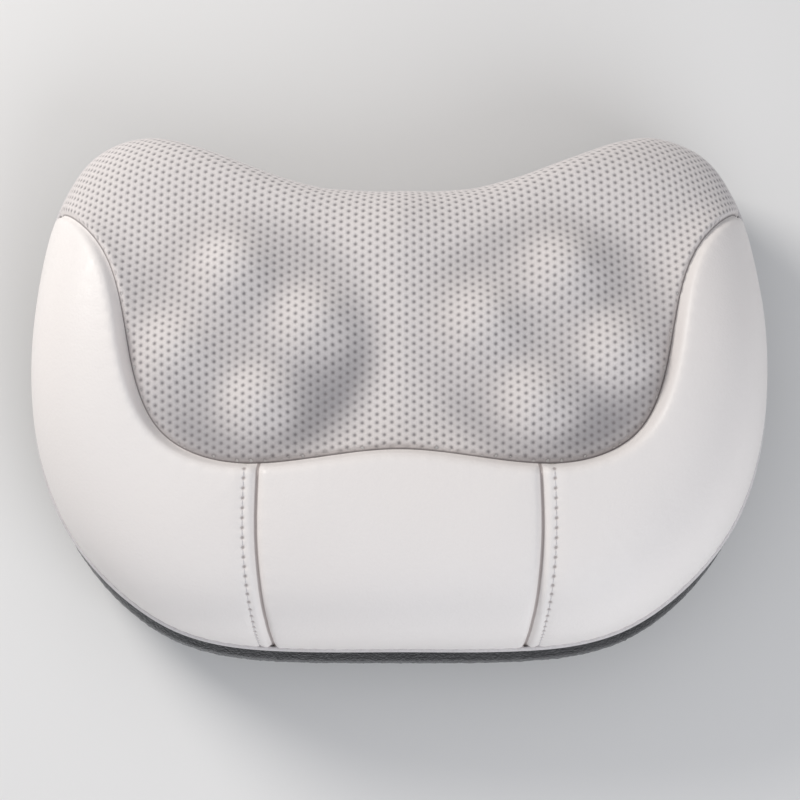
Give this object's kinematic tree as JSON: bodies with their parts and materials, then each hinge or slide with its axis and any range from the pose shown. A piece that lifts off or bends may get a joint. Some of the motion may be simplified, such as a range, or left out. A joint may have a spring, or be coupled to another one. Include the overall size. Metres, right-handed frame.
{
  "type": "shiatsu neck massager",
  "caption": "Cushion massager with a mesh front, leather panels and two counter-turning rotors of kneading heads driven by one worm-geared motor.",
  "frame": {"origin": "middle of the flat back, on the surface that the cushion lies on", "axes": "+X across the width, +Y towards the concave neck edge, +Z out through the mesh front"},
  "size_m": [0.3504, 0.2488, 0.1125],
  "materials": {
    "mesh_fabric": "matte",
    "leather_white": "satin",
    "piping_cord": "satin",
    "band_fabric": "matte",
    "lining_fabric": "matte",
    "foam": "matte",
    "felt": "matte",
    "coil_nylon": "satin",
    "zip_metal": "satin",
    "housing_plastic": "matte",
    "gear_plastic": "satin",
    "arm_plastic": "matte",
    "head_plastic": "satin",
    "steel": "satin",
    "motor_steel": "satin",
    "screw_steel": "satin",
    "worm_brass": "satin",
    "bush_bronze": "satin",
    "rubber_pad": "matte",
    "black_plastic": "matte",
    "connector_plastic": "satin",
    "board_green": "satin",
    "control_plastic": "matte",
    "button_plastic": "satin",
    "cable_pvc": "satin"
  },
  "bodies": {
    "root": {"mesh_panel": "mesh_fabric", "leather_panel_left": "leather_white", "leather_panel_centre": "leather_white", "leather_panel_right": "leather_white", "piping": "piping_cord", "side_band": "band_fabric", "back_panel": "band_fabric", "zip_tapes": "band_fabric", "lining_cloth": "lining_fabric", "foam_base": "foam", "foam_topper": "foam", "back_pad": "felt", "zip_coil": "coil_nylon", "rear_housing": "housing_plastic", "front_housing": "housing_plastic", "gear_plate": "arm_plastic", "gear_axles": "steel", "motor_clamp": "steel", "motor_can": "motor_steel", "housing_screws": "screw_steel", "small_screws": "screw_steel", "bushes": "bush_bronze", "motor_pad": "rubber_pad", "motor_end_cap": "black_plastic", "tact_switch": "black_plastic", "dc_jack": "black_plastic", "board_components": "black_plastic", "plate_ring": "black_plastic", "board_connector": "connector_plastic", "control_board": "board_green", "switch_board": "board_green", "control_plate": "control_plastic", "panel_cable": "cable_pvc", "motor_leads": "cable_pvc"},
    "rotor_left": {"output_gear_left": "gear_plastic", "rotor_shaft_left": "steel", "rotor_arm_left": "arm_plastic", "rotor_nut_left": "screw_steel", "head_screws_left": "screw_steel", "massage_head_left_1": "head_plastic", "massage_head_left_2": "head_plastic", "massage_head_left_3": "head_plastic", "massage_head_left_4": "head_plastic"},
    "rotor_right": {"output_gear_right": "gear_plastic", "rotor_shaft_right": "steel", "rotor_arm_right": "arm_plastic", "rotor_nut_right": "screw_steel", "head_screws_right": "screw_steel", "massage_head_right_1": "head_plastic", "massage_head_right_2": "head_plastic", "massage_head_right_3": "head_plastic", "massage_head_right_4": "head_plastic"},
    "compound_left": {"compound_gear_left": "gear_plastic"},
    "compound_right": {"compound_gear_right": "gear_plastic"},
    "worm_drive": {"worm": "worm_brass", "motor_shaft": "steel"},
    "button": {"power_button": "button_plastic", "switch_plunger": "button_plastic"},
    "slider": {"zip_slider": "zip_metal"},
    "pull": {"zip_pull": "zip_metal"}
  },
  "joints": [
    {"name": "rotor_left_spin", "type": "hinge", "parent": "root", "child": "rotor_left", "pos_m": [-0.07, 0.018, 0.07], "axis": [0, 0, 1], "continuous": true},
    {"name": "rotor_right_spin", "type": "hinge", "parent": "root", "child": "rotor_right", "pos_m": [0.07, 0.018, 0.07], "axis": [0, 0, 1], "continuous": true},
    {"name": "compound_left_spin", "type": "hinge", "parent": "root", "child": "compound_left", "pos_m": [-0.025, 0.018, 0.03], "axis": [0, 0, 1], "continuous": true},
    {"name": "compound_right_spin", "type": "hinge", "parent": "root", "child": "compound_right", "pos_m": [0.025, 0.018, 0.03], "axis": [0, 0, 1], "continuous": true},
    {"name": "worm_spin", "type": "hinge", "parent": "root", "child": "worm_drive", "pos_m": [0, 0.018, 0.027], "axis": [0, 1, 0], "continuous": true},
    {"name": "power_button_press", "type": "slide", "parent": "root", "child": "button", "axis": [-1, 0, 0], "range_m": [0, 0.0008], "stiffness_N_per_m": 1200, "springref_m": -0.0012},
    {"name": "zip_slide", "type": "slide", "parent": "root", "child": "slider", "axis": [1, 0, 0], "range_m": [0, 0.106]},
    {"name": "zip_pull_swing", "type": "hinge", "parent": "slider", "child": "pull", "pos_m": [-0.062, -0.0945, 0.0013], "axis": [0, 1, 0], "range_deg": [0, 150]}
  ],
  "couplings": [
    {"joint": "rotor_right_spin", "follows": "rotor_left_spin", "ratio": -1},
    {"joint": "compound_left_spin", "follows": "rotor_left_spin", "ratio": -4},
    {"joint": "compound_right_spin", "follows": "rotor_left_spin", "ratio": 4},
    {"joint": "worm_spin", "follows": "rotor_left_spin", "ratio": 112}
  ]
}
